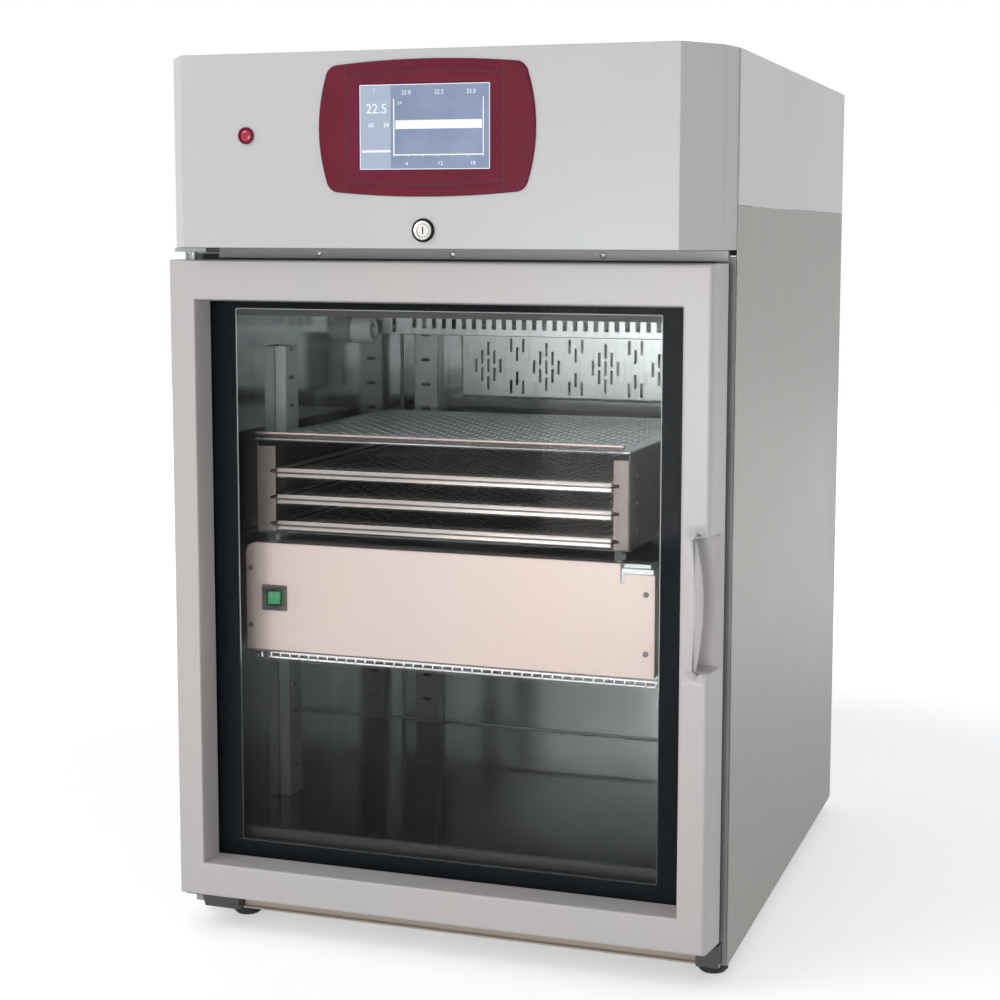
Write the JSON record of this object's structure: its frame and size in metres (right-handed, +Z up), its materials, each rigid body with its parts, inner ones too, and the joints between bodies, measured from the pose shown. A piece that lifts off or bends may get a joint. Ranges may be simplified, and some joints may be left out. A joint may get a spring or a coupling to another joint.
{
  "type": "platelet incubator",
  "caption": "Benchtop platelet incubator: insulated cabinet with a glazed hinged door, display head and a sliding-carriage agitator with trays inside.",
  "frame": {"origin": "middle of the overall footprint at floor level", "axes": "+Z up, the door and display face -Y, +X to the right of someone facing the door"},
  "size_m": [0.57, 0.658, 0.88],
  "materials": {
    "brushed_side": "vertically brushed stainless",
    "cabinet_grey": "satin warm grey coating",
    "door_grey": "satin warm grey coating",
    "polished_steel": "mirror-like polish",
    "bright_steel": "bright rolled sheet",
    "chrome_steel": "polished plating",
    "zinc": "zinc plated",
    "fins": "mill finish",
    "beige_strip": "satin",
    "black_enamel": "semi-gloss enamel",
    "burgundy": "glossy moulded",
    "screen_blue": "glossy panel",
    "lamp_red": "clear lens",
    "black_plastic": "fine texture",
    "dark_grey_plastic": "satin",
    "white_plastic": "satin",
    "green_rocker": "glossy translucent",
    "black_rubber": "matte",
    "collar_grey": "satin",
    "gasket_grey": "matte",
    "foam": "rigid cell foam",
    "clear_glass": "clear float"
  },
  "bodies": {
    "cabinet": {"outer_wrapper": "brushed_side", "head_cover": "brushed_side", "rear_panel": "cabinet_grey", "power_inlet": "black_plastic", "machine_deck": "zinc", "compressor": "black_enamel", "head_fascia": "cabinet_grey", "display_bezel": "burgundy", "display_screen": "screen_blue", "pilot_lamp": "lamp_red", "lock_body": "chrome_steel", "hinge_rail": "cabinet_grey", "plinth_strip": "beige_strip", "top_hinge_bracket": "bright_steel", "bottom_hinge_bracket": "black_plastic", "right_base_bracket": "black_plastic", "foot_front_left": "black_rubber", "foot_front_right": "black_rubber", "foot_rear_left": "black_rubber", "foot_rear_right": "black_rubber", "inner_liner": "polished_steel", "foam_insulation": "foam", "collar_frame": "collar_grey", "standard_front_left": "bright_steel", "standard_front_right": "bright_steel", "standard_rear_left": "bright_steel", "standard_rear_right": "bright_steel", "wire_shelf": "bright_steel", "air_duct": "bright_steel", "fan_cover": "bright_steel", "fan_motor": "dark_grey_plastic", "evaporator": "fins", "agitator_housing": "polished_steel", "agitator_front_panel": "polished_steel", "switch_frame": "black_plastic", "drive_motor": "dark_grey_plastic"},
    "door": {"door_frame": "door_grey", "grip_insert": "door_grey", "outer_glass": "clear_glass", "inner_glass": "clear_glass", "glass_spacer": "black_plastic", "door_inner_frame": "black_plastic", "door_gasket": "gasket_grey"},
    "lock": {"lock_cylinder": "chrome_steel"},
    "carriage": {"carriage_frame": "bright_steel", "carriage_top_plate": "bright_steel", "front_bracket_left": "bright_steel", "front_bracket_right": "bright_steel"},
    "tray_low": {"tray_1": "bright_steel"},
    "tray_middle": {"tray_2": "bright_steel"},
    "tray_high": {"tray_3": "bright_steel"},
    "wheel_front_left": {"roller_front_left": "white_plastic"},
    "wheel_front_right": {"roller_front_right": "white_plastic"},
    "wheel_rear_left": {"roller_rear_left": "white_plastic"},
    "wheel_rear_right": {"roller_rear_right": "white_plastic"},
    "crank": {"crank_disc": "zinc"},
    "rod": {"connecting_rod": "zinc"},
    "rocker": {"rocker_switch": "green_rocker"},
    "fan": {"fan_rotor": "black_plastic"},
    "port": {"port_plug": "white_plastic"}
  },
  "joints": [
    {"name": "door_hinge", "type": "hinge", "parent": "cabinet", "child": "door", "pos_m": [-0.264, -0.276, 0.363], "axis": [0, 0, -1], "range_deg": [0, 110]},
    {"name": "lock_turn", "type": "hinge", "parent": "cabinet", "child": "lock", "pos_m": [0.003, -0.326, 0.714], "axis": [0, 1, 0], "range_deg": [0, 90]},
    {"name": "carriage_slide", "type": "slide", "parent": "cabinet", "child": "carriage", "axis": [1, 0, 0], "range_m": [-0.007, 0.029]},
    {"name": "tray_low_slide", "type": "slide", "parent": "carriage", "child": "tray_low", "axis": [0, -1, 0], "range_m": [0, 0.018]},
    {"name": "tray_middle_slide", "type": "slide", "parent": "carriage", "child": "tray_middle", "axis": [0, -1, 0], "range_m": [0, 0.018]},
    {"name": "tray_high_slide", "type": "slide", "parent": "carriage", "child": "tray_high", "axis": [0, -1, 0], "range_m": [0, 0.018]},
    {"name": "wheel_front_left_turn", "type": "hinge", "parent": "carriage", "child": "wheel_front_left", "pos_m": [-0.202, -0.2287, 0.4013], "axis": [0, 1, 0], "range_deg": [-82, 334]},
    {"name": "wheel_front_right_turn", "type": "hinge", "parent": "carriage", "child": "wheel_front_right", "pos_m": [0.168, -0.2287, 0.4013], "axis": [0, 1, 0], "range_deg": [-82, 334]},
    {"name": "wheel_rear_left_turn", "type": "hinge", "parent": "carriage", "child": "wheel_rear_left", "pos_m": [-0.202, 0.0927, 0.4013], "axis": [0, 1, 0], "range_deg": [-82, 334]},
    {"name": "wheel_rear_right_turn", "type": "hinge", "parent": "carriage", "child": "wheel_rear_right", "pos_m": [0.168, 0.0927, 0.4013], "axis": [0, 1, 0], "range_deg": [-82, 334]},
    {"name": "crank_turn", "type": "hinge", "parent": "cabinet", "child": "crank", "pos_m": [-0.06, -0.071, 0.394], "axis": [0, 0, 1], "continuous": true},
    {"name": "rod_turn", "type": "hinge", "parent": "crank", "child": "rod", "pos_m": [-0.078, -0.071, 0.398], "axis": [0, 0, 1], "continuous": true},
    {"name": "rocker_tilt", "type": "hinge", "parent": "cabinet", "child": "rocker", "pos_m": [-0.195, -0.236, 0.3405], "axis": [1, 0, 0], "range_deg": [0, 10]},
    {"name": "fan_turn", "type": "hinge", "parent": "cabinet", "child": "fan", "pos_m": [-0.07, 0.156, 0.556], "axis": [0, 1, 0], "continuous": true},
    {"name": "port_pull", "type": "slide", "parent": "cabinet", "child": "port", "axis": [1, 0, 0], "range_m": [0, 0.04]}
  ],
  "couplings": [
    {"joint": "wheel_front_left_turn", "follows": "carriage_slide", "rad_per_m": 200},
    {"joint": "wheel_front_right_turn", "follows": "carriage_slide", "rad_per_m": 200},
    {"joint": "wheel_rear_left_turn", "follows": "carriage_slide", "rad_per_m": 200},
    {"joint": "wheel_rear_right_turn", "follows": "carriage_slide", "rad_per_m": 200},
    {"joint": "rod_turn", "follows": "crank_turn", "ratio": -1}
  ]
}
